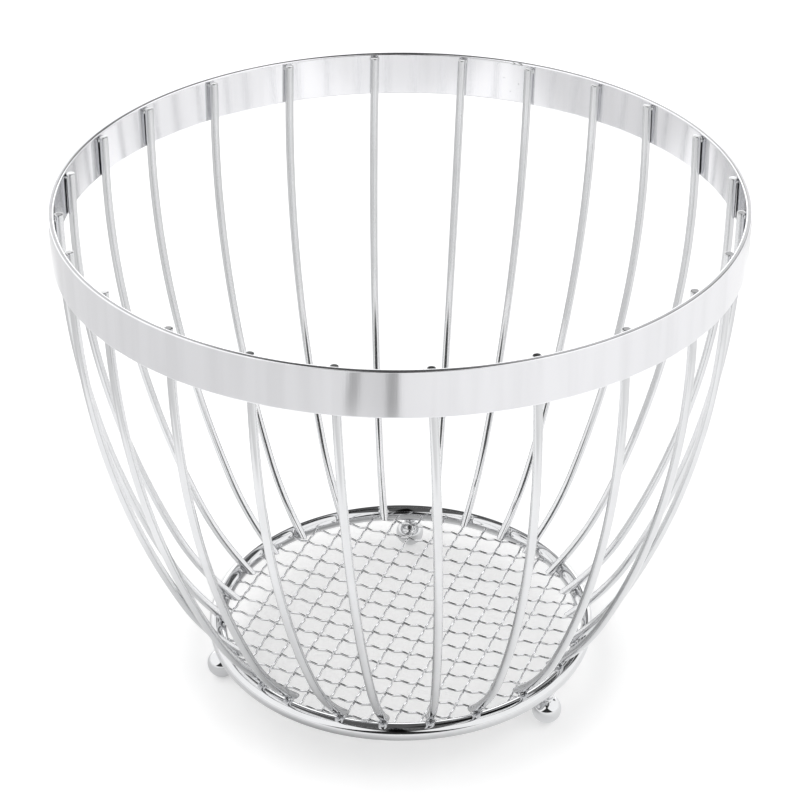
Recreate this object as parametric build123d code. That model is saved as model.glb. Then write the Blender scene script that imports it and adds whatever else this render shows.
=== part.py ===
"""Wire fruit basket: a flat rim band, round wire ribs, a thick base ring on three
ball feet, and a floor of woven crimped wire inside the ring. Millimetres, +Z up.
The origin is on the table, under the middle of the basket."""
from build123d import *
from math import atan2, ceil, cos, degrees, floor, radians, sin, sqrt, tan
import os

# Rim band: flat bar bent into a hoop and butt welded
rim_diameter = 260.0
basket_height = 211.0
band_height = 18.0
band_thickness = 2.2
band_edge_chamfer = 0.35

# Base ring: one thick round wire
ring_wire_diameter = 7.0
ring_centre_diameter = 151.0

# Ball feet: solid balls, each on a short weld neck under the ring
foot_diameter = 12.0
foot_neck_diameter = 5.0
foot_neck_length = 0.8
foot_neck_root = 1.5
foot_angles = (87.0, 194.0, 320.0)

# Ribs: round wire, welded behind the band and onto the inner side of the ring
rib_count = 24
rib_wire_diameter = 3.4
rib_first_angle = 6.0
rib_drop_below_band_top = 1.0
rib_foot_length = 18.5
rib_foot_angle = 45.5
rib_end_above_ring_centre = 1.4
weld_seat = 0.05
# Where the shoulder lies between knee and top, and how much of its runs each bend takes
rib_shoulder_share = 0.475
rib_upper_bend_share = 0.98
rib_lower_bend_share = 0.95
# Each rib was set by hand: how far its top stands off its even place, in degrees
rib_drift_degrees = (0, 2.4, 2.4, 0, -0.9, -2.9, -1.4, 0.1, 0.8, 1.4, 0.2, 0.4,
                     0.7, -0.5, -0.4, 0.6, 0.6, -1, -1.4, 0, 1.2, 3, 2.2, 2.2)
# How far round the ring its foot stands past its top, in degrees
rib_sway_degrees = (5, 0.7, 0.4, 0.6, 1.4, -0.2, 1.4, -0.2, 0.9, -1, -0.2, 0.5,
                    -0.5, 3, 6, 1, 4.6, 4.7, 4.4, 2.5, 4, 5.5, 4, 5)
# How far its bends are turned about the straight line from foot to top, in degrees
rib_twist_degrees = (-12, -6, -4.5, 4.5, 3, 7.5, 3, 6, 3.3, 2.5, 1.8, 8,
                     -5, 0, 3, 0, -5, 0, 3.5, 6, 0, 0, 2, -5)

# Floor: crimped wires that pass over and under each other
floor_wire_diameter = 0.8
floor_pitch = 9.6
floor_turn_angle = -19.8
floor_crossing_angle = 90.0
floor_warp_offset = -3.4
floor_weft_offset = 2.1
floor_crossing_gap = 0.25
floor_shortest_wire = 24.0

# Sizes that follow from the ones above
rim_radius = rim_diameter / 2
band_inner_radius = rim_radius - band_thickness
ring_wire_radius = ring_wire_diameter / 2
ring_centre_radius = ring_centre_diameter / 2
ring_inner_radius = ring_centre_radius - ring_wire_radius
ring_centre_height = foot_diameter + foot_neck_length + ring_wire_radius
rib_radius = rib_wire_diameter / 2
floor_bore_radius = ring_inner_radius - weld_seat


def rim_band():
    """A hoop of flat bar with its sharp edges just broken."""
    middle = (rim_radius + band_inner_radius) / 2
    place = Plane.XZ * Pos(middle, basket_height - band_height / 2)
    section = chamfer((place * Rectangle(band_thickness, band_height)).vertices(), band_edge_chamfer)
    return revolve(section, Axis.Z)


def base_ring():
    """The thick wire ring that ribs, feet and floor are welded to."""
    return Pos(0, 0, ring_centre_height) * Torus(ring_centre_radius, ring_wire_radius)


def ball_foot(angle):
    """A ball whose weld neck is shaped to the underside of the ring."""
    radius = foot_diameter / 2
    neck_length = foot_neck_root + foot_neck_length + ring_wire_radius
    neck_base = Pos(ring_centre_radius, 0, foot_diameter - foot_neck_root)
    neck = neck_base * Cylinder(foot_neck_diameter / 2, neck_length,
                                align=(Align.CENTER, Align.CENTER, Align.MIN))
    ball = Pos(ring_centre_radius, 0, radius) * Sphere(radius)
    return Rot(0, 0, angle) * ((ball + neck) - base_ring())


def rib_route(tilt, aside):
    """Corners of a rib's centre line in its own plane, its seat on the ring, and a point past it."""
    top_height = basket_height - rib_drop_below_band_top
    top = Vector(band_inner_radius - weld_seat - rib_radius, 0, top_height)
    # The tilted plane cuts the ring wire here
    ring_reach = sqrt(ring_centre_radius ** 2 - aside ** 2)
    ring_depth = (top_height - ring_centre_height) / cos(radians(tilt))
    ring_centre = Vector(ring_reach, 0, top_height - ring_depth)
    # The foot lies along the upper inner side of the ring wire, and the knee is up along it
    up = Vector(sin(radians(rib_foot_angle)), 0, cos(radians(rib_foot_angle)))
    inward = Vector(-up.Z, 0, up.X)
    seat = ring_centre + inward * (ring_wire_radius + weld_seat + rib_radius)
    knee = seat + up * rib_foot_length
    shoulder = Vector(top.X, 0, knee.Z + rib_shoulder_share * (top_height - knee.Z))
    return top, shoulder, knee, seat, seat - up * ring_wire_diameter


def rib_bends(top, shoulder, knee):
    """Radii of the long upper bend and the short lower one, from the runs beside them."""
    middle_angle = degrees(atan2(shoulder.X - knee.X, shoulder.Z - knee.Z))
    lower_turn = abs(rib_foot_angle - middle_angle)
    lower_run = rib_lower_bend_share * rib_foot_length
    room = min((top - shoulder).length, (shoulder - knee).length - lower_run)
    upper_run = rib_upper_bend_share * room
    return [upper_run / tan(radians(middle_angle) / 2), lower_run / tan(radians(lower_turn) / 2)]


def rib(angle, sway, twist):
    """One wire: upright behind the band, bent inward twice, its foot cut level.

    It leans sideways from its top, so that its foot lands a sway angle further round.
    The twist swings its bends sideways and leaves its top and its foot in place."""
    top_height = basket_height - rib_drop_below_band_top
    aside = ring_inner_radius * sin(radians(sway))
    tilt = degrees(atan2(aside, top_height - ring_centre_height))
    top, shoulder, knee, seat, past_foot = rib_route(tilt, aside)
    path = FilletPolyline(top, shoulder, knee, past_foot, radius=rib_bends(top, shoulder, knee))
    start = Plane(origin=path @ 0, z_dir=path % 0)
    wire = sweep(start * Circle(rib_radius), path=path)
    wire = wire.rotate(Axis(seat, top - seat), twist)
    tilted = Pos(0, 0, top_height) * Rot(tilt, 0, 0) * Pos(0, 0, -top_height) * wire
    level = ring_centre_height + rib_end_above_ring_centre
    return Rot(0, 0, angle) * split(tilted, Plane.XY.offset(level), keep=Keep.TOP)


def wire_places(offset):
    """Index and place of each wire of one set, measured across the set."""
    first = ceil((-floor_bore_radius - offset) / floor_pitch)
    last = floor((floor_bore_radius - offset) / floor_pitch)
    return [(index, offset + index * floor_pitch) for index in range(first, last + 1)]


def crimped_wire(own_index, place, crossings, side):
    """A wire along X, over one crossing wire and under the next, past both ends."""
    rise = (floor_wire_diameter + floor_crossing_gap) / 2
    first_index, first_along = crossings[0]
    last_index, last_along = crossings[-1]
    before = (first_index - 1, first_along - floor_pitch)
    after = (last_index + 1, last_along + floor_pitch)
    points = []
    for index, along in [before, *crossings, after]:
        up = side if (index + own_index) % 2 == 0 else -side
        points.append(Vector(along, place, up * rise))
    path = Polyline(*points)
    start = Plane(origin=path @ 0, x_dir=(0, 1, 0), z_dir=path % 0)
    section = start * Rectangle(floor_wire_diameter, floor_wire_diameter)
    return sweep(section, path=path, transition=Transition.RIGHT)


def floor_set(own_offset, other_offset, side, turn):
    """One set of floor wires, sheared to the bore of the ring."""
    bore = Cylinder(floor_bore_radius, ring_wire_diameter)
    crossings = wire_places(other_offset)
    wires = []
    for index, place in wire_places(own_offset):
        length = 2 * sqrt(floor_bore_radius ** 2 - place ** 2)
        if length > floor_shortest_wire:
            wires.append(crimped_wire(index, place, crossings, side) & bore)
    placed = Pos(0, 0, ring_centre_height) * Rot(0, 0, turn)
    return Compound(children=[placed * wire for wire in wires])


os.makedirs("parts", exist_ok=True)
export_step(rim_band(), "parts/rim_band.step")
export_step(base_ring(), "parts/base_ring.step")
feet = [ball_foot(angle) for angle in foot_angles]
export_step(Compound(children=feet), "parts/ball_feet.step")
for number in range(rib_count):
    drift = rib_drift_degrees[number % len(rib_drift_degrees)]
    sway = rib_sway_degrees[number % len(rib_sway_degrees)]
    rib_angle = rib_first_angle + number * 360 / rib_count + drift
    twist = rib_twist_degrees[number % len(rib_twist_degrees)]
    export_step(rib(rib_angle, sway, twist), f"parts/rib_{number + 1:02d}.step")
warp = floor_set(floor_warp_offset, floor_weft_offset, 1, floor_turn_angle)
export_step(warp, "parts/floor_warp_wires.step")
# The weft runs across the warp, so its places along X are the warp's turned back
weft = floor_set(-floor_weft_offset, floor_warp_offset, -1, floor_turn_angle + floor_crossing_angle)
export_step(weft, "parts/floor_weft_wires.step")
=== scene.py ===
"""Looks for the wire fruit basket: chromed band, ribs, ring, ball feet and woven floor.
Metres, same frame as the solids: +Z up, origin on the table under the basket's middle.
Places round the basket are azimuths in degrees."""
from math import acos, asin, atan2, ceil, cos, degrees, floor, pi, radians, sin, sqrt, tan

import bpy
import numpy as np
from mathutils import Matrix, Vector


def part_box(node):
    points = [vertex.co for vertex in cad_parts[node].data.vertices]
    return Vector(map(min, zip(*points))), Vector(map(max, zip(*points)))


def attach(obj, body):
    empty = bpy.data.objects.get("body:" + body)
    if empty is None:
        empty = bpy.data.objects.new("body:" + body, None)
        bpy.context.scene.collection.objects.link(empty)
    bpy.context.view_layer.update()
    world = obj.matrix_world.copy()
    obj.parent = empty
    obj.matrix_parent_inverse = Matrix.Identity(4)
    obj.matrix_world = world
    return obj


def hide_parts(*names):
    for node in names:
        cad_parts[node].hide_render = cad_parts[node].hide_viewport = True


MM = 0.001

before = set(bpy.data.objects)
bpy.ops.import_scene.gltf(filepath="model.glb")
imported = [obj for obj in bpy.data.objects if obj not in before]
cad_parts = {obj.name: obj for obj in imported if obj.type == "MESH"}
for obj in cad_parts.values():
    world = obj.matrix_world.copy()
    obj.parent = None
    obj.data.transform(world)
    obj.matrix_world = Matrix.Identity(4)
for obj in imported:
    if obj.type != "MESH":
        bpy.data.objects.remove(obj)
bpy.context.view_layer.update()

# Sizes read from the frame
BAND_LOW, BAND_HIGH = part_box("rim_band")
RING_LOW, RING_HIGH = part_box("base_ring")
BASKET_HEIGHT = BAND_HIGH[2]
BAND_HEIGHT = BAND_HIGH[2] - BAND_LOW[2]
RIM_RADIUS = (BAND_HIGH[0] - BAND_LOW[0]) / 2
RING_WIRE_RADIUS = (RING_HIGH[2] - RING_LOW[2]) / 2
RING_CENTRE_HEIGHT = (RING_HIGH[2] + RING_LOW[2]) / 2
RING_CENTRE_RADIUS = (RING_HIGH[0] - RING_LOW[0]) / 2 - RING_WIRE_RADIUS
RING_BORE_RADIUS = RING_CENTRE_RADIUS - RING_WIRE_RADIUS

# Rim band
BAND_THICKNESS = 2.2 * MM
BAND_STEPS = 720
# Rounds of its section: outer top, inner top, inner bottom and outer bottom edge
BAND_EDGE_ROUNDS = (0.45 * MM, 0.75 * MM, 0.45 * MM, 0.45 * MM)
BAND_ROUND_STEP_DEGREES = 15
# The rolled bar's faint waves: share of the height, how many go round the hoop, and phase
BAND_WAVE_HEIGHT = 0.022 * MM
BAND_WAVES = ((0.55, 11, 0.4), (0.35, 23, 1.9), (0.25, 41, 2.2), (0.12, 67, 0.7))

# Ribs
RIB_COUNT = 24
RIB_RADIUS = 1.7 * MM
RIB_FIRST_ANGLE = 6.0
RIB_DROP_BELOW_BAND_TOP = 1.0 * MM
RIB_TOP_HEIGHT = BASKET_HEIGHT - RIB_DROP_BELOW_BAND_TOP
RIB_FOOT_LENGTH = 18.5 * MM
RIB_FOOT_ANGLE = radians(45.5)
RIB_END_ABOVE_RING_CENTRE = 1.4 * MM
# Where the shoulder lies between knee and top, and how much of its runs each bend takes
RIB_SHOULDER_SHARE = 0.475
RIB_UPPER_BEND_SHARE = 0.98
RIB_LOWER_BEND_SHARE = 0.95
# The solids stop this far short of each other where they are welded
WELD_SEAT = 0.05 * MM
RIB_SIDES = 32
RIB_UPPER_BEND_STEPS = 28
RIB_LOWER_BEND_STEPS = 14
# Rows of the broken edge at a rib's top, in chamfers: how far down, and how far in from the skin
RIB_TOP_CHAMFER = 0.25 * MM
RIB_TOP_ROWS = ((0, 3), (0, 1.2), (0.1, 0.6), (0.5, 0.15), (1, 0), (2, 0))
# Rows beside the edge of the level cut at its foot: share of the way up to the row above,
# and of the way from the cut's middle out to its edge
RIB_CUT_SIDE_ROW = 0.04
RIB_CUT_FACE_ROW = 0.9
# How far each rib's top stands off its even place, in degrees
RIB_DRIFT_DEGREES = (0, 2.4, 2.4, 0, -0.9, -2.9, -1.4, 0.1, 0.8, 1.4, 0.2, 0.4,
                     0.7, -0.5, -0.4, 0.6, 0.6, -1, -1.4, 0, 1.2, 3, 2.2, 2.2)
# How far round the ring its foot stands past its top, in degrees
RIB_SWAY_DEGREES = (5, 0.7, 0.4, 0.6, 1.4, -0.2, 1.4, -0.2, 0.9, -1, -0.2, 0.5,
                    -0.5, 3, 6, 1, 4.6, 4.7, 4.4, 2.5, 4, 5.5, 4, 5)
# How far its bends are turned about the straight line from foot to top, in degrees
RIB_TWIST_DEGREES = (-12, -6, -4.5, 4.5, 3, 7.5, 3, 6, 3.3, 2.5, 1.8, 8,
                     -5, 0, 3, 0, -5, 0, 3.5, 6, 0, 0, 2, -5)

# A bead of weld metal. Its end rows stay off its poles by a gap in radians
BEAD_ROWS = 8
BEAD_SIDES = 14
BEAD_POLE_GAP = 0.08
# Its skin is uneven: waves round it and half waves along it, and their heights as shares of its size.
# Its seed is an angle that shifts them, those along it this many times as far
BEAD_WAVES_ROUND = 2
BEAD_HALF_WAVES_ALONG = 3
BEAD_WAVE_HEIGHT_ROUND = 0.10
BEAD_WAVE_HEIGHT_ALONG = 0.08
BEAD_SEED_TIMES_ALONG = 1.7
# Two beads at each rib's top, in the corners between it and the band
TOP_BEAD_OFF_BAND = 0.45 * MM
TOP_BEAD_ASIDE = 1.25 * MM
TOP_BEAD_DROP = 1.0 * MM
TOP_BEAD_SINK_SHARE = 0.3
TOP_BEAD_HALF_WIDTH = 0.75 * MM
TOP_BEAD_HALF_HEIGHT = 0.9 * MM
TOP_BEAD_HALF_HEIGHT_VARIES = 0.35 * MM
TOP_BEAD_HALF_THICKNESS = 0.5 * MM
TOP_BEAD_SEED_STEP = 2.1
# Two beads beside each rib's foot, on the upper inner side of the ring
LOW_BEAD_OFF_RING = 0.15 * MM
LOW_BEAD_ASIDE = 1.45 * MM
LOW_BEAD_SLIDE = 0.5 * MM
LOW_BEAD_HALF_WIDTH = 1.0 * MM
LOW_BEAD_HALF_WIDTH_VARIES = 0.2 * MM
LOW_BEAD_LENGTH_SHARE = 1.2
LOW_BEAD_HALF_THICKNESS = 0.65 * MM
LOW_BEAD_SEED_STEP = 1.3
LOW_BEAD_SEED_ASIDE = 2.2
# One bead at each end of a floor wire, its height and thickness as shares of its width
END_BEAD_INSET = 0.25 * MM
END_BEAD_HALF_WIDTH = 0.75 * MM
END_BEAD_HALF_WIDTH_VARIES = 0.15 * MM
END_BEAD_HEIGHT_SHARE = 0.9
END_BEAD_THICKNESS_SHARE = 0.7
END_BEAD_SEED_STEP = 2.7
# The band's butt weld: metal along its inner top edge, and three small grains below it.
# Angle, drop below the top, and half sizes along the hoop, upright and off it
BUTT_BEAD_SINK = 0.15 * MM
BUTT_BEADS = ((67.2, 0.75 * MM, (1.9 * MM, 0.50 * MM, 0.50 * MM)),
              (68.5, 0.85 * MM, (1.4 * MM, 0.55 * MM, 0.45 * MM)),
              (67.3, 9.5 * MM, (0.35 * MM, 0.35 * MM, 0.30 * MM)),
              (70.2, 7.6 * MM, (0.45 * MM, 0.25 * MM, 0.25 * MM)),
              (68.9, 13.4 * MM, (0.30 * MM, 0.30 * MM, 0.25 * MM)))

# Base ring
RING_STEPS = 360
RING_SIDES = 48

# Ball feet
FOOT_RADIUS = 6.0 * MM
FOOT_NECK_RADIUS = 2.5 * MM
FOOT_ANGLES = (87.0, 194.0, 320.0)
FOOT_SIDES = 64
FOOT_STEPS = 48
# The ball's lowest row stays off its pole by this angle in radians
FOOT_POLE_GAP = 0.02
# The neck ends inside the ring wire, this share of its radius below its centre
FOOT_NECK_END_SHARE = 0.7
# Rows of the neck: share of its height, and its radius there as a share of the plain neck's
FOOT_NECK_ROWS = ((0.08, 0.96), (0.25, 0.93), (0.45, 0.98), (0.7, 1.1), (1.0, 1.25))

# Woven floor
FLOOR_WIRE_RADIUS = 0.45 * MM
FLOOR_WIRE_SIDES = 12
FLOOR_PITCH = 9.6 * MM
FLOOR_TURN = -19.8
FLOOR_WARP_OFFSET = -3.4 * MM
FLOOR_WEFT_OFFSET = 2.1 * MM
FLOOR_RISE = 0.46 * MM
FLOOR_SHORTEST_WIRE = 24.0 * MM
# A wire's end dips a hair into the ring wire, where it is welded
FLOOR_END_DIP = 0.3 * MM
# Each wire is laid out to this share of the bore's radius, and then cut
FLOOR_LAYOUT_SHARE = 1.2
# Its crimps: a sharpness of 0 is a round wave and 1 a zigzag. Those between crossings are less high
CRIMPS_PER_PITCH = 1.5
CRIMP_SHARPNESS = 0.93
CRIMP_BETWEEN_SHARE = 0.72
HALF_CRIMP_STEPS = 10
# The weave isn't laid square. A place in it moves by a shift, and by amounts times x, y, x squared
# and y squared, where x runs along the warp and y across it, both 1 at the bore's edge
WEAVE_MOVES_ALONG = (0.7 * MM, 0.4 * MM, 1.1 * MM, -1.8 * MM, 0.0)
WEAVE_MOVES_ACROSS = (-1.9 * MM, 1.7 * MM, -0.9 * MM, 6.8 * MM, 2.7 * MM)


# Mesh helpers

def new_piece(name, points, faces, slot, material, replaced=()):
    """A smooth mesh piece that rides on the basket's one body."""
    mesh = bpy.data.meshes.new(name)
    mesh.from_pydata([tuple(p) for p in points], [], faces)
    mesh.validate()
    mesh.polygons.foreach_set("use_smooth", [True] * len(mesh.polygons))
    mesh.materials.append(material)
    piece = bpy.data.objects.new(name, mesh)
    bpy.context.scene.collection.objects.link(piece)
    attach(piece, "root")
    if replaced:
        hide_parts(*replaced)


def skin(rings, closed=False):
    """Quads between rings of equal count; closed joins the last ring to the first."""
    count = len(rings[0])
    total = len(rings)
    faces = []
    for row in range(total if closed else total - 1):
        here = row * count
        there = ((row + 1) % total) * count
        for k in range(count):
            n = (k + 1) % count
            faces.append((here + k, here + n, there + n, there + k))
    return faces


def hoop(rings):
    """Points and faces of a skin that closes on itself."""
    return [p for ring in rings for p in ring], skin(rings, closed=True)


def capped(rings):
    """Points and faces of a skin with both of its ends closed."""
    count = len(rings[0])
    points = [p for ring in rings for p in ring]
    faces = skin(rings)
    faces.append(tuple(range(count - 1, -1, -1)))
    faces.append(tuple(range(len(points) - count, len(points))))
    return points, faces


def merge(parts):
    """Joins (points, faces) pairs into one pair."""
    points = []
    faces = []
    for part_points, part_faces in parts:
        shift = len(points)
        points.extend(part_points)
        faces.extend(tuple(i + shift for i in face) for face in part_faces)
    return points, faces


def turned(points, angle):
    """Points turned about Z by an angle in degrees."""
    c = cos(radians(angle))
    s = sin(radians(angle))
    return [(c * x - s * y, s * x + c * y, z) for x, y, z in points]


def ways_along(line):
    """Unit direction of a line at each of its points."""
    last = len(line) - 1
    ways = []
    for k in range(len(line)):
        way = line[min(k + 1, last)] - line[max(k - 1, 0)]
        ways.append(way / np.linalg.norm(way))
    return ways


# Materials

BRIGHT_TINT = (0.66, 0.665, 0.675)
RIB_TINT = (0.69, 0.695, 0.705)
FLOOR_TINT = (0.70, 0.705, 0.715)
BAND_TINT = (0.82, 0.82, 0.84)
GRAIN_DETAIL = 4.0
GRAIN_ROUGHNESS = 0.6
BLOTCH_DETAIL = 3.0
BLOTCH_EDGE = (0.35, 0.60)


def feed(socket, value):
    """Links an input to another node's output, or sets it to a plain value."""
    if isinstance(value, bpy.types.NodeSocket):
        socket.id_data.links.new(value, socket)
    else:
        socket.default_value = value


def fill(node, inputs):
    """Feeds a node's inputs by their names."""
    for name, value in inputs.items():
        feed(node.inputs[name], value)


def chrome(name, tint, rough, grain, bump=0, stretch=(1, 1, 1), blotch=(60, 0.96)):
    """Chromed steel: fine noise sets its roughness and a faint bump, and a coarse one its tint.

    rough is the lowest and highest roughness, grain the fine noise's scale, and bump its height.
    blotch is the coarse noise's scale, and the share of the tint that is left where it is darkest."""
    material = bpy.data.materials.new(name)
    material.use_nodes = True
    nodes = material.node_tree.nodes
    place = nodes.new("ShaderNodeTexCoord")
    mapping = nodes.new("ShaderNodeMapping")
    fill(mapping, {"Vector": place.outputs["Object"], "Scale": stretch})
    point = mapping.outputs["Vector"]

    fine = nodes.new("ShaderNodeTexNoise")
    fill(fine, {"Vector": point, "Scale": grain, "Detail": GRAIN_DETAIL, "Roughness": GRAIN_ROUGHNESS})
    roughness = nodes.new("ShaderNodeMapRange")
    fill(roughness, {"Value": fine.outputs["Fac"], "To Min": rough[0], "To Max": rough[1]})

    coarse = nodes.new("ShaderNodeTexNoise")
    fill(coarse, {"Vector": point, "Scale": blotch[0], "Detail": BLOTCH_DETAIL})
    spread = nodes.new("ShaderNodeMapRange")
    fill(spread, {"Value": coarse.outputs["Fac"], "From Min": BLOTCH_EDGE[0], "From Max": BLOTCH_EDGE[1]})
    darkest = [part * blotch[1] for part in tint]
    colour = nodes.new("ShaderNodeMix")
    colour.data_type = "RGBA"
    fill(colour, {"Factor": spread.outputs["Result"], "A": (*darkest, 1), "B": (*tint, 1)})

    shader = nodes["Principled BSDF"]
    fill(shader, {"Metallic": 1.0, "Base Color": colour.outputs["Result"],
                  "Roughness": roughness.outputs["Result"]})
    if bump:
        relief = nodes.new("ShaderNodeBump")
        fill(relief, {"Strength": 1.0, "Distance": bump, "Height": fine.outputs["Fac"]})
        fill(shader, {"Normal": relief.outputs["Normal"]})
    return material


BAND_CHROME = chrome("band_chrome", BAND_TINT, rough=(0.06, 0.13), grain=900, bump=0.006 * MM,
                     stretch=(1, 1, 0.06), blotch=(150, 0.95))
RING_CHROME = chrome("ring_chrome", BRIGHT_TINT, rough=(0.03, 0.07), grain=300)
RIB_CHROME = chrome("rib_chrome", RIB_TINT, rough=(0.04, 0.10), grain=400)
BALL_CHROME = chrome("ball_chrome", BRIGHT_TINT, rough=(0.02, 0.05), grain=250)
FLOOR_CHROME = chrome("floor_chrome", FLOOR_TINT, rough=(0.02, 0.06), grain=600)
WELD_CHROME = chrome("weld_chrome", BRIGHT_TINT, rough=(0.08, 0.22), grain=900, bump=0.02 * MM)


# Rim band

def band_section():
    """Rounded bar section as (radius, height), counter-clockwise, a point before and after each round."""
    half_thickness = BAND_THICKNESS / 2
    half_height = BAND_HEIGHT / 2
    middle_radius = RIM_RADIUS - half_thickness
    middle_height = BASKET_HEIGHT - half_height
    corners = ((1, 1, 0), (-1, 1, 90), (-1, -1, 180), (1, -1, 270))
    points = []
    for (out, up, start), r in zip(corners, BAND_EDGE_ROUNDS):
        finish = start + 90
        beside = r / 2
        centre = np.array([middle_radius + out * (half_thickness - r),
                           middle_height + up * (half_height - r)])
        arc = []
        for angle in range(start, finish + 1, BAND_ROUND_STEP_DEGREES):
            arc.append(centre + r * np.array([cos(radians(angle)), sin(radians(angle))]))
        before = arc[0] + beside * np.array([sin(radians(start)), -cos(radians(start))])
        after = arc[-1] + beside * np.array([-sin(radians(finish)), cos(radians(finish))])
        points.extend([before, *arc, after])
    return points


def band_wave(angle):
    """How far the rolled bar stands out from a true circle at an angle."""
    return BAND_WAVE_HEIGHT * sum(share * sin(count * angle + phase) for share, count, phase in BAND_WAVES)


def rim_band():
    """The hoop of flat bar."""
    section = band_section()
    rings = []
    for step in range(BAND_STEPS):
        angle = 2 * pi * step / BAND_STEPS
        out = band_wave(angle)
        rings.append([((r + out) * cos(angle), (r + out) * sin(angle), z) for r, z in section])
    new_piece("rim_hoop", *hoop(rings), "satin_chrome", BAND_CHROME, ["rim_band"])


# Ribs

def bend(before, corner, after, reach, steps):
    """Points on the round between two straight runs; it starts and ends reach away from the corner."""
    a = (before - corner) / np.linalg.norm(before - corner)
    b = (after - corner) / np.linalg.norm(after - corner)
    half = acos(np.clip(a @ b, -1, 1)) / 2
    radius = reach * tan(half)
    centre = corner + (a + b) / np.linalg.norm(a + b) * radius / sin(half)
    start = corner + a * reach - centre
    finish = corner + b * reach - centre
    first = atan2(start[1], start[0])
    sweep = atan2(start[0] * finish[1] - start[1] * finish[0], start @ finish)
    angles = [first + sweep * k / steps for k in range(steps + 1)]
    return [centre + radius * np.array([cos(t), sin(t)]) for t in angles]


def rib_lean(sway):
    """Sideways reach at the ring and tilt in radians of a rib whose foot stands sway degrees round."""
    aside = RING_BORE_RADIUS * sin(radians(sway))
    return aside, atan2(aside, RIB_TOP_HEIGHT - RING_CENTRE_HEIGHT)


def reach_of_ring(aside):
    """How far out the ring wire's centre lies in a plane that stands aside from the middle."""
    return sqrt(RING_CENTRE_RADIUS ** 2 - aside ** 2)


def rib_line(tilt, aside):
    """A rib's centre line in its own plane as (reach, height), to past its foot, and its seat there."""
    top = np.array([RIM_RADIUS - BAND_THICKNESS - WELD_SEAT - RIB_RADIUS, RIB_TOP_HEIGHT])
    # The tilted plane cuts the ring wire here
    ring_depth = (RIB_TOP_HEIGHT - RING_CENTRE_HEIGHT) / cos(tilt)
    ring = np.array([reach_of_ring(aside), RIB_TOP_HEIGHT - ring_depth])
    up = np.array([sin(RIB_FOOT_ANGLE), cos(RIB_FOOT_ANGLE)])
    inward = np.array([-up[1], up[0]])
    seat = ring + inward * (RING_WIRE_RADIUS + WELD_SEAT + RIB_RADIUS)
    knee = seat + up * RIB_FOOT_LENGTH
    shoulder = np.array([top[0], knee[1] + RIB_SHOULDER_SHARE * (RIB_TOP_HEIGHT - knee[1])])
    end = seat - up * RING_WIRE_RADIUS * 2
    lower_reach = RIB_LOWER_BEND_SHARE * RIB_FOOT_LENGTH
    room = min(np.linalg.norm(top - shoulder), np.linalg.norm(shoulder - knee) - lower_reach)
    upper = bend(top, shoulder, knee, RIB_UPPER_BEND_SHARE * room, RIB_UPPER_BEND_STEPS)
    lower = bend(shoulder, knee, end, lower_reach, RIB_LOWER_BEND_STEPS)
    return [top, *upper, *lower, end], seat


def rib_placing(top, seat, twist, tilt):
    """Turn about the line from seat to top, then the lean about the top."""
    seat = Vector((seat[0], 0, seat[1]))
    chord = Vector((top[0], 0, top[1])) - seat
    turn = Matrix.Translation(seat) @ Matrix.Rotation(radians(twist), 4, chord) @ Matrix.Translation(-seat)
    pivot = Vector((0, 0, top[1]))
    return Matrix.Translation(pivot) @ Matrix.Rotation(tilt, 4, "X") @ Matrix.Translation(-pivot) @ turn


def rib_mesh(sway, twist):
    """One rib at azimuth 0: square top with a broken edge, foot cut level."""
    aside, tilt = rib_lean(sway)
    line, seat = rib_line(tilt, aside)
    ways = ways_along(line)
    placing = rib_placing(line[0], seat, twist, tilt)

    def ring(centre, way, radius):
        """Points round the wire at one place on its centre line."""
        side = np.array([-way[1], way[0]])
        points = []
        for k in range(RIB_SIDES):
            t = 2 * pi * k / RIB_SIDES
            reach, height = centre + side * radius * cos(t)
            points.append(placing @ Vector((reach, radius * sin(t), height)))
        return points

    rings = []
    for down, inside in RIB_TOP_ROWS:
        centre = line[0] + ways[0] * down * RIB_TOP_CHAMFER
        rings.append(ring(centre, ways[0], RIB_RADIUS - inside * RIB_TOP_CHAMFER))
    for here, way in zip(line[1:-1], ways[1:-1]):
        rings.append(ring(here, way, RIB_RADIUS))
    # At the foot each line of the skin runs on to the level cut
    run = placing.to_3x3() @ Vector((ways[-1][0], 0, ways[-1][1]))
    level = RING_CENTRE_HEIGHT + RIB_END_ABOVE_RING_CENTRE
    cut = [p - run * ((p.z - level) / run.z) for p in ring(line[-1], ways[-1], RIB_RADIUS)]
    rings.append([q.lerp(p, RIB_CUT_SIDE_ROW) for p, q in zip(rings[-1], cut)])
    rings.append(cut)
    middle = sum(cut, Vector()) / RIB_SIDES
    rings.append([middle.lerp(p, RIB_CUT_FACE_ROW) for p in cut])
    return capped(rings)


def rib_angles():
    """Azimuth of each rib's top in degrees."""
    return [RIB_FIRST_ANGLE + 360 * n / RIB_COUNT + RIB_DRIFT_DEGREES[n] for n in range(RIB_COUNT)]


def ribs():
    """All ribs, each in its own place."""
    for number, angle in enumerate(rib_angles()):
        points, faces = rib_mesh(RIB_SWAY_DEGREES[number], RIB_TWIST_DEGREES[number])
        name = f"rib_wire_{number + 1:02d}"
        new_piece(name, turned(points, angle), faces, "rib_chrome", RIB_CHROME, [f"rib_{number + 1:02d}"])


# Welds

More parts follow.
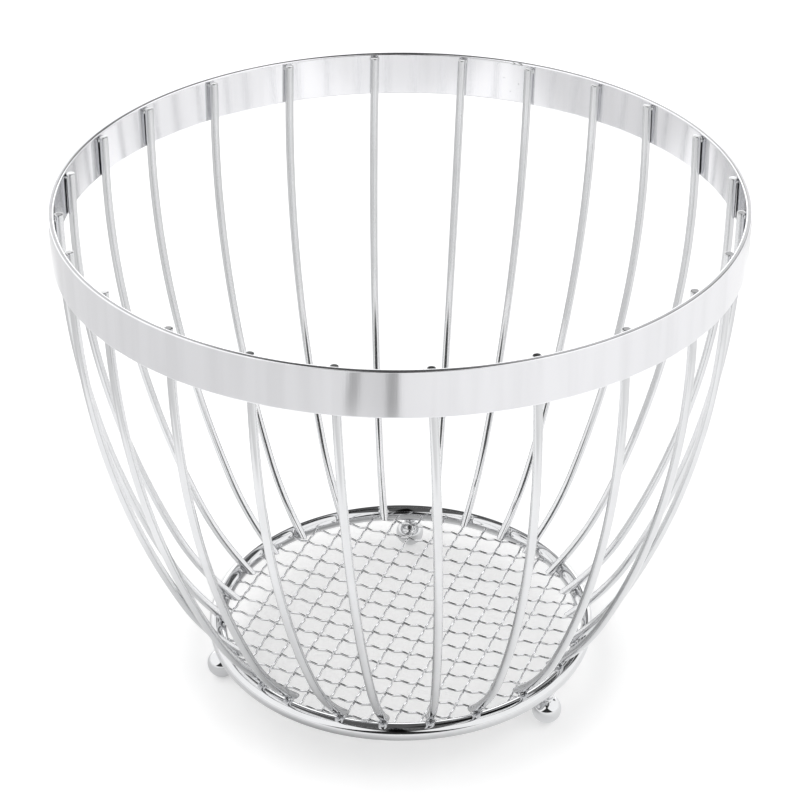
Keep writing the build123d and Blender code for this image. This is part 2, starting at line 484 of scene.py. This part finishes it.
def bead(centre, across, along, sizes, seed):
    """A small uneven bead of weld metal: half sizes across, along and off the surface."""
    across = np.array(across) / np.linalg.norm(across)
    along = np.array(along) / np.linalg.norm(along)
    off = np.cross(across, along)
    half_across, half_along, half_off = sizes
    rings = []
    for row in range(BEAD_ROWS + 1):
        polar = BEAD_POLE_GAP + (pi - 2 * BEAD_POLE_GAP) * row / BEAD_ROWS
        along_phase = BEAD_HALF_WAVES_ALONG * polar + BEAD_SEED_TIMES_ALONG * seed
        ring = []
        for k in range(BEAD_SIDES):
            turn = 2 * pi * k / BEAD_SIDES
            uneven = (1 + BEAD_WAVE_HEIGHT_ROUND * sin(BEAD_WAVES_ROUND * turn + seed) * sin(polar)
                      + BEAD_WAVE_HEIGHT_ALONG * sin(along_phase))
            smooth = (across * half_across * sin(polar) * cos(turn)
                      + off * half_off * sin(polar) * sin(turn)
                      + along * half_along * cos(polar))
            ring.append(tuple(np.array(centre) + uneven * smooth))
        rings.append(ring)
    return capped(rings)


def rim_welds():
    """Beads between each rib's top and the band, and those of the band's butt weld."""
    across = (0, 1, 0)
    upright = (0, 0, 1)
    inner_radius = RIM_RADIUS - BAND_THICKNESS
    beads = []
    for number, angle in enumerate(rib_angles()):
        for hand in (-1, 1):
            seed = number * TOP_BEAD_SEED_STEP + hand
            tall = TOP_BEAD_HALF_HEIGHT + TOP_BEAD_HALF_HEIGHT_VARIES * sin(seed)
            height = RIB_TOP_HEIGHT - TOP_BEAD_DROP - tall * TOP_BEAD_SINK_SHARE
            centre = (inner_radius - TOP_BEAD_OFF_BAND, hand * TOP_BEAD_ASIDE, height)
            sizes = (TOP_BEAD_HALF_WIDTH, tall, TOP_BEAD_HALF_THICKNESS)
            points, faces = bead(centre, across, upright, sizes, seed)
            beads.append((turned(points, angle), faces))
    for angle, drop, sizes in BUTT_BEADS:
        centre = (inner_radius + BUTT_BEAD_SINK, 0, BASKET_HEIGHT - drop)
        points, faces = bead(centre, across, upright, sizes, angle)
        beads.append((turned(points, angle), faces))
    new_piece("rim_welds", *merge(beads), "rib_chrome", WELD_CHROME)


def ring_welds():
    """Beads on both sides of each rib's foot, on the upper inner side of the ring."""
    up = np.array([sin(RIB_FOOT_ANGLE), 0, cos(RIB_FOOT_ANGLE)])
    inward = np.array([-up[2], 0, up[0]])
    ring = np.array([RING_CENTRE_RADIUS, 0, RING_CENTRE_HEIGHT])
    seat = ring + inward * (RING_WIRE_RADIUS + LOW_BEAD_OFF_RING)
    beads = []
    for number, angle in enumerate(rib_angles()):
        aside = rib_lean(RIB_SWAY_DEGREES[number])[0]
        foot_angle = angle + degrees(atan2(aside, reach_of_ring(aside)))
        for hand in (-1, 1):
            seed = number * LOW_BEAD_SEED_STEP + hand * LOW_BEAD_SEED_ASIDE
            centre = seat + np.array([0, hand * LOW_BEAD_ASIDE, 0]) + up * LOW_BEAD_SLIDE * sin(seed)
            wide = LOW_BEAD_HALF_WIDTH + LOW_BEAD_HALF_WIDTH_VARIES * sin(seed)
            sizes = (wide, wide * LOW_BEAD_LENGTH_SHARE, LOW_BEAD_HALF_THICKNESS)
            points, faces = bead(centre, (0, 1, 0), up, sizes, seed)
            beads.append((turned(points, foot_angle), faces))
    new_piece("ring_welds", *merge(beads), "rib_chrome", WELD_CHROME)


# Base ring and feet

def base_ring():
    """The thick wire that ribs, feet and floor are welded to."""
    rings = []
    for step in range(RING_STEPS):
        angle = 2 * pi * step / RING_STEPS
        ring = []
        for k in range(RING_SIDES):
            t = 2 * pi * k / RING_SIDES
            r = RING_CENTRE_RADIUS + RING_WIRE_RADIUS * cos(t)
            ring.append((r * cos(angle), r * sin(angle), RING_CENTRE_HEIGHT + RING_WIRE_RADIUS * sin(t)))
        rings.append(ring)
    new_piece("ring_wire", *hoop(rings), "bright_chrome", RING_CHROME, ["base_ring"])


def lathe(profile, sides, centre):
    """Skin of a profile of (radius, height) turned about an upright line; ends closed."""
    rings = []
    for r, z in profile:
        rings.append([(centre[0] + r * cos(2 * pi * k / sides), centre[1] + r * sin(2 * pi * k / sides), z)
                      for k in range(sides)])
    return capped(rings)


def foot_profile():
    """A ball and the neck above it as (radius, height), from the table up."""
    profile = []
    join = pi - asin(FOOT_NECK_RADIUS / FOOT_RADIUS)
    for k in range(FOOT_STEPS + 1):
        t = FOOT_POLE_GAP + (join - FOOT_POLE_GAP) * k / FOOT_STEPS
        profile.append((FOOT_RADIUS * sin(t), FOOT_RADIUS - FOOT_RADIUS * cos(t)))
    ball_top = profile[-1][1]
    neck_height = RING_CENTRE_HEIGHT - RING_WIRE_RADIUS * FOOT_NECK_END_SHARE - ball_top
    for share, widen in FOOT_NECK_ROWS:
        profile.append((FOOT_NECK_RADIUS * widen, ball_top + neck_height * share))
    return profile


def feet():
    """The three ball feet under the ring."""
    profile = foot_profile()
    for number, angle in enumerate(FOOT_ANGLES):
        centre = (RING_CENTRE_RADIUS * cos(radians(angle)), RING_CENTRE_RADIUS * sin(radians(angle)))
        points, faces = lathe(profile, FOOT_SIDES, centre)
        new_piece(f"ball_foot_{number + 1}", points, faces, "bright_chrome", BALL_CHROME, ["ball_feet"])


# Woven floor

def wire_places(offset):
    """Index and place of each wire of one set, measured across the set."""
    first = ceil((-RING_BORE_RADIUS - offset) / FLOOR_PITCH)
    last = floor((RING_BORE_RADIUS - offset) / FLOOR_PITCH)
    return [(n, offset + n * FLOOR_PITCH) for n in range(first, last + 1)]


def laid(x, y):
    """Where a point of the weave, at x along the warp and y across it, really lies."""
    u = x / RING_BORE_RADIUS
    v = y / RING_BORE_RADIUS
    place = []
    for value, (shift, by_u, by_v, by_uu, by_vv) in ((x, WEAVE_MOVES_ALONG), (y, WEAVE_MOVES_ACROSS)):
        place.append(value + shift + by_u * u + by_v * v + by_uu * u * u + by_vv * v * v)
    return place


def crimp(phase):
    """Height share of a crimped wire: 1 over a crossing wire, -1 under it."""
    return asin(CRIMP_SHARPNESS * cos(phase)) / asin(CRIMP_SHARPNESS)


def crimp_height(turns):
    """Height of a wire over the weave's middle plane; crossings lie at whole turns, high at even ones.

    The crimps between two crossings, a third of a turn from each, are less high."""
    swell = (1 - CRIMP_BETWEEN_SHARE) / (1 - cos(2 * pi / 3))
    amount = 1 - swell + swell * cos(2 * pi * turns)
    return FLOOR_RISE * amount * crimp(2 * pi * CRIMPS_PER_PITCH * turns)


def tube(line, radius, sides):
    """Round skin about a line of 3-D points, ends closed."""
    line = [np.array(p) for p in line]
    rings = []
    for here, way in zip(line, ways_along(line)):
        side = np.cross((0, 0, 1), way)
        side = side / np.linalg.norm(side)
        up = np.cross(way, side)
        rings.append([tuple(here + radius * (up * cos(2 * pi * n / sides) + side * sin(2 * pi * n / sides)))
                      for n in range(sides)])
    return capped(rings)


def floor_lines(warp):
    """Centre lines of one set of wires, cut where they meet the ring."""
    if warp:
        own, other, side = FLOOR_WARP_OFFSET, FLOOR_WEFT_OFFSET, 1
    else:
        own, other, side = FLOOR_WEFT_OFFSET, FLOOR_WARP_OFFSET, -1
    step = FLOOR_PITCH / CRIMPS_PER_PITCH / 2 / HALF_CRIMP_STEPS
    start = -FLOOR_LAYOUT_SHARE * RING_BORE_RADIUS
    count = ceil(-2 * start / step)
    lines = []
    for index, place in wire_places(own):
        line = []
        for k in range(count + 1):
            along = start + step * k
            x, y = laid(along, place) if warp else laid(place, along)
            if sqrt(x * x + y * y) < RING_BORE_RADIUS + FLOOR_END_DIP:
                height = side * crimp_height((along - other) / FLOOR_PITCH + index)
                line.append((x, y, RING_CENTRE_HEIGHT + height))
        if len(line) * step > FLOOR_SHORTEST_WIRE:
            lines.append(line)
    return lines


def woven_floor():
    """Both sets of crimped wires, and a bead at each wire's end."""
    ends = []
    for name, warp in (("floor_warp", True), ("floor_weft", False)):
        lines = floor_lines(warp)
        points, faces = merge([tube(line, FLOOR_WIRE_RADIUS, FLOOR_WIRE_SIDES) for line in lines])
        new_piece(name, turned(points, FLOOR_TURN), faces, "floor_wire", FLOOR_CHROME, [f"{name}_wires"])
        for line in lines:
            ends.extend([line[0], line[-1]])
    upright = (0, 0, 1)
    beads = []
    for number, end in enumerate(ends):
        outward = np.array([end[0], end[1], 0]) / sqrt(end[0] ** 2 + end[1] ** 2)
        wide = END_BEAD_HALF_WIDTH + END_BEAD_HALF_WIDTH_VARIES * sin(number * END_BEAD_SEED_STEP)
        sizes = (wide, wide * END_BEAD_HEIGHT_SHARE, wide * END_BEAD_THICKNESS_SHARE)
        centre = np.array(end) - outward * END_BEAD_INSET
        beads.append(bead(centre, np.cross(upright, outward), upright, sizes, number))
    points, faces = merge(beads)
    new_piece("floor_welds", turned(points, FLOOR_TURN), faces, "floor_wire", WELD_CHROME)


# Studio

# The table. An edge is where a change starts and where it ends, in metres
TABLE_HALF = 4.0
PAPER = 0.86
# The glow that only the camera sees, less of it under the basket as painted shade
SEEN_EDGE = (0.07, 0.12)
SEEN_LEVELS = (0.27, 0.50)
# The glow that only the metal mirrors: more to the right, most round the basket, none far behind
MIRRORED_EDGE = (-0.35, 0.35)
MIRRORED_LEVELS = (0.12, 0.34)
ROUND_LEVEL = 0.52
ROUND_EDGE = (0.22, 0.32)
ROUND_START = (-0.32, -0.26)
BEHIND_EDGE = (0.28, 0.40)
# Two lines of painted shade in front with a veil between them, seen only by the metal, and their near and
# far ends
LINE_PLACES = (-0.104, -0.018)
LINE_EDGE = (0.007, 0.021)
LINE_NEAR_END = (-0.85, -0.60)
LINE_FAR_END = (-0.45, -0.41)
LINE_DIMS_PAPER = 0.35
LINE_DIMS_MIRRORED = 0.30
VEIL_EDGE = (0.03, 0.055)
VEIL_SHARE = 0.25
# Painted shade under the woven floor and near the ring, seen only by the metal, both weaker to the right
UNDER_EDGE = (0.055, 0.075)
UNDER_FRONT_EDGE = (0.06, 0.115)
UNDER_FRONT_START = (-0.07, -0.04)
UNDER_DIMS_PAPER = 0.64
NEAR_EDGE = (0.11, 0.19)
NEAR_DIMS_MIRRORED = 0.35
WEAKER_EDGE = (-0.06, 0.10)
WEAKER_SHARE = 0.2

# The light from all sides. Its edges and middles are parts of a direction along X, Y and Z
LIGHT = 1.30
BACKGROUND = 1.0
# A direction that hardly goes backward counts as going this far
LEAST_BACKWARD = 0.01
# Dark wedge in front with a light foot, its half width in radians
WEDGE_MIDDLE = -0.03
WEDGE_HALF_WIDTH_LOW = 0.82
WEDGE_NARROWS = 1.10
WEDGE_LEAST_HALF_WIDTH = 0.12
WEDGE_EDGE = (-0.04, 0.04)
WEDGE_LEVEL = 0.03
WEDGE_FOOT_EDGE = (0.03, 0.11)
WEDGE_FOOT_LEVEL = 0.9
# Dark gap overhead: a narrow slot low at the back, wide at the top
GAP_MIDDLE = -0.016
GAP_WIDENS = (0.55, 0.90)
GAP_HALF_WIDTHS = (0.05, 0.30)
GAP_EDGE = (-0.02, 0.04)
GAP_START = (0.44, 0.50)
GAP_DIMS = 0.90
# At the back: a dim wall, a dark patch to the right of it and a bright strip below
WALL_EDGE = (0.16, 0.24)
WALL_BOTTOM = (0.42, 0.46)
WALL_TOP = (0.62, 0.74)
WALL_DIMS = 0.50
PATCH_LEFT = (0.18, 0.28)
PATCH_RIGHT = (1.5, 2.0)
PATCH_BOTTOM = (0.38, 0.46)
PATCH_FRONT = (0.0, 0.08)
PATCH_DIMS = 0.97
STRIP_TOP = (0.30, 0.38)
STRIP_EDGE = (0.5, 0.9)
STRIP_ADDS = 0.7


def maths(kind, *values):
    """A maths node on sockets and plain numbers, in the sockets' own node tree."""
    tree = next(value.id_data for value in values if isinstance(value, bpy.types.NodeSocket))
    node = tree.nodes.new("ShaderNodeMath")
    node.operation = kind
    for socket, value in zip(node.inputs, values):
        feed(socket, value)
    return node.outputs[0]


def plus(a, b):
    return maths("ADD", a, b)


def minus(a, b):
    return maths("SUBTRACT", a, b)


def times(first, *others):
    for other in others:
        first = maths("MULTIPLY", first, other)
    return first


def ratio(a, b):
    return maths("DIVIDE", a, b)


def highest(a, b):
    return maths("MAXIMUM", a, b)


def size(a):
    return maths("ABSOLUTE", a)


def ramp(value, edge, levels):
    """Goes smoothly from the first level to the second as the value rises past an edge."""
    node = value.id_data.nodes.new("ShaderNodeMapRange")
    node.interpolation_type = "SMOOTHSTEP"
    fill(node, {"Value": value, "From Min": edge[0], "From Max": edge[1],
                "To Min": levels[0], "To Max": levels[1]})
    return node.outputs["Result"]


def above(value, edge):
    """From 0 to 1 as the value rises past an edge."""
    return ramp(value, edge, (0.0, 1.0))


def below(value, edge):
    """From 1 to 0 as the value rises past an edge."""
    return ramp(value, edge, (1.0, 0.0))


def coordinates(nodes, kind):
    """X, Y and Z of a texture coordinate."""
    place = nodes.new("ShaderNodeTexCoord")
    split = nodes.new("ShaderNodeSeparateXYZ")
    fill(split, {"Vector": place.outputs[kind]})
    return split.outputs


def painted_shade_lines(x, y):
    """How dark the two lines of painted shade in front and the veil between them are."""
    lines = 0.0
    for line_place in LINE_PLACES:
        lines = highest(below(size(minus(x, line_place)), LINE_EDGE), lines)
    middle = sum(LINE_PLACES) / len(LINE_PLACES)
    veil = times(below(size(minus(x, middle)), VEIL_EDGE), VEIL_SHARE)
    ends = times(below(y, LINE_FAR_END), above(y, LINE_NEAR_END))
    return times(highest(lines, veil), ends)


def table_material():
    """Pale paper, plain to the camera but for painted shade under the basket, with painted dark lines and
    painted shade where the metal mirrors it.
    """
    material = bpy.data.materials.new("table_paper")
    material.use_nodes = True
    nodes = material.node_tree.nodes
    nodes.clear()
    x, y = coordinates(nodes, "Object")[:2]
    path = nodes.new("ShaderNodeLightPath")
    glossy = path.outputs["Is Glossy Ray"]

    # Painted shade that only the metal mirrors: the two dark lines in front
    lines = times(painted_shade_lines(x, y), glossy)
    reach = maths("SQRT", plus(times(x, x), times(y, y)))
    # Painted shade that only the metal mirrors: dark under the woven floor and dim near the ring, weaker to
    # the right
    weaker = ramp(x, WEAKER_EDGE, (1.0, WEAKER_SHARE))
    under_front = times(below(reach, UNDER_FRONT_EDGE), below(y, UNDER_FRONT_START))
    painted_shade_under_floor = times(highest(below(reach, UNDER_EDGE), under_front), glossy, weaker)
    paper = minus(PAPER, plus(times(lines, LINE_DIMS_PAPER), times(painted_shade_under_floor, UNDER_DIMS_PAPER)))

    painted_shade_near_ring = times(below(reach, NEAR_EDGE), weaker)
    round_basket = times(above(y, ROUND_START), below(size(x), ROUND_EDGE))
    mirrored = minus(ramp(x, MIRRORED_EDGE, MIRRORED_LEVELS), times(lines, LINE_DIMS_MIRRORED))
    mirrored = plus(mirrored, times(round_basket, minus(ROUND_LEVEL, mirrored)))
    mirrored = times(mirrored, below(y, BEHIND_EDGE))
    mirrored = highest(minus(mirrored, times(painted_shade_near_ring, NEAR_DIMS_MIRRORED)), 0.0)
    # Less of the camera's glow under the basket: painted shade
    seen = ramp(reach, SEEN_EDGE, SEEN_LEVELS)
    level = plus(times(path.outputs["Is Camera Ray"], seen), times(glossy, mirrored))

    shade = nodes.new("ShaderNodeCombineColor")
    fill(shade, {"Red": paper, "Green": paper, "Blue": paper})
    diffuse = nodes.new("ShaderNodeBsdfDiffuse")
    fill(diffuse, {"Color": shade.outputs["Color"]})
    glow = nodes.new("ShaderNodeEmission")
    fill(glow, {"Color": (1, 1, 1, 1), "Strength": level})
    both = nodes.new("ShaderNodeAddShader")
    feed(both.inputs[0], diffuse.outputs["BSDF"])
    feed(both.inputs[1], glow.outputs["Emission"])
    out = nodes.new("ShaderNodeOutputMaterial")
    fill(out, {"Surface": both.outputs["Shader"]})
    return material


def studio_floor():
    """A large pale table top."""
    corners = [(-TABLE_HALF, -TABLE_HALF, 0), (TABLE_HALF, -TABLE_HALF, 0),
               (TABLE_HALF, TABLE_HALF, 0), (-TABLE_HALF, TABLE_HALF, 0)]
    mesh = bpy.data.meshes.new("table_top")
    mesh.from_pydata(corners, [], [(0, 1, 2, 3)])
    mesh.materials.append(table_material())
    table = bpy.data.objects.new("table_top", mesh)
    bpy.context.scene.collection.objects.link(table)


def studio_light(x, y, z):
    """Strength of the light from a direction."""
    # The wedge is widest at the horizon and narrows upward to its least width
    bearing = maths("ARCTAN2", size(minus(x, WEDGE_MIDDLE)), times(y, -1.0))
    half_width = highest(minus(WEDGE_HALF_WIDTH_LOW, times(z, WEDGE_NARROWS)), WEDGE_LEAST_HALF_WIDTH)
    wedge = ramp(minus(bearing, half_width), WEDGE_EDGE, (WEDGE_LEVEL, 1.0))
    wedge = highest(wedge, ramp(z, WEDGE_FOOT_EDGE, (WEDGE_FOOT_LEVEL, 0.0)))

    slot = ramp(z, GAP_WIDENS, GAP_HALF_WIDTHS)
    gap = times(below(minus(size(minus(x, GAP_MIDDLE)), slot), GAP_EDGE), above(z, GAP_START))
    overhead = minus(1.0, times(gap, GAP_DIMS))

    # At the back, places are how far a direction goes sideways for each step backward
    backward = highest(y, LEAST_BACKWARD)
    sideways = ratio(x, backward)
    off_middle = ratio(size(x), backward)
    wall = times(below(off_middle, WALL_EDGE), above(z, WALL_BOTTOM), below(z, WALL_TOP))
    patch = times(above(sideways, PATCH_LEFT), below(sideways, PATCH_RIGHT),
                  above(z, PATCH_BOTTOM), above(y, PATCH_FRONT))
    behind = minus(1.0, highest(times(wall, WALL_DIMS), times(patch, PATCH_DIMS)))
    strip = times(below(z, STRIP_TOP), below(off_middle, STRIP_EDGE))
    light = plus(LIGHT, times(strip, STRIP_ADDS))
    return times(times(wedge, overhead), times(behind, light))


def studio_world():
    """White light with dark places for the metal to mirror, and a plain white background."""
    world = bpy.data.worlds.new("studio")
    bpy.context.scene.world = world
    world.use_nodes = True
    nodes = world.node_tree.nodes
    nodes.clear()
    sky = nodes.new("ShaderNodeBackground")
    fill(sky, {"Color": (1, 1, 1, 1), "Strength": studio_light(*coordinates(nodes, "Generated"))})
    plain = nodes.new("ShaderNodeBackground")
    fill(plain, {"Color": (1, 1, 1, 1), "Strength": BACKGROUND})
    path = nodes.new("ShaderNodeLightPath")
    choose = nodes.new("ShaderNodeMixShader")
    feed(choose.inputs[0], path.outputs["Is Camera Ray"])
    feed(choose.inputs[1], sky.outputs["Background"])
    feed(choose.inputs[2], plain.outputs["Background"])
    out = nodes.new("ShaderNodeOutputWorld")
    fill(out, {"Surface": choose.outputs["Shader"]})


def camera():
    """The photograph's own viewpoint."""
    height = 623.1 * MM
    back = 818.0 * MM
    side = -0.2 * MM
    down_radians = 0.551
    roll_radians = -0.003
    focal_pixels = 2457.3
    image_pixels = 800
    data = bpy.data.cameras.new("photo_camera")
    data.sensor_width = 36.0
    data.lens = data.sensor_width * focal_pixels / image_pixels
    data.clip_start = 0.01
    data.clip_end = 50.0
    view = bpy.data.objects.new("photo_camera", data)
    bpy.context.scene.collection.objects.link(view)
    view.matrix_world = (Matrix.Translation((side, -back, height))
                         @ Matrix.Rotation(pi / 2 - down_radians, 4, "X")
                         @ Matrix.Rotation(roll_radians, 4, "Z"))
    bpy.context.scene.camera = view


rim_band()
ribs()
rim_welds()
ring_welds()
base_ring()
feet()
woven_floor()
studio_floor()
studio_world()
camera()
bpy.context.scene.view_settings.view_transform = "Standard"
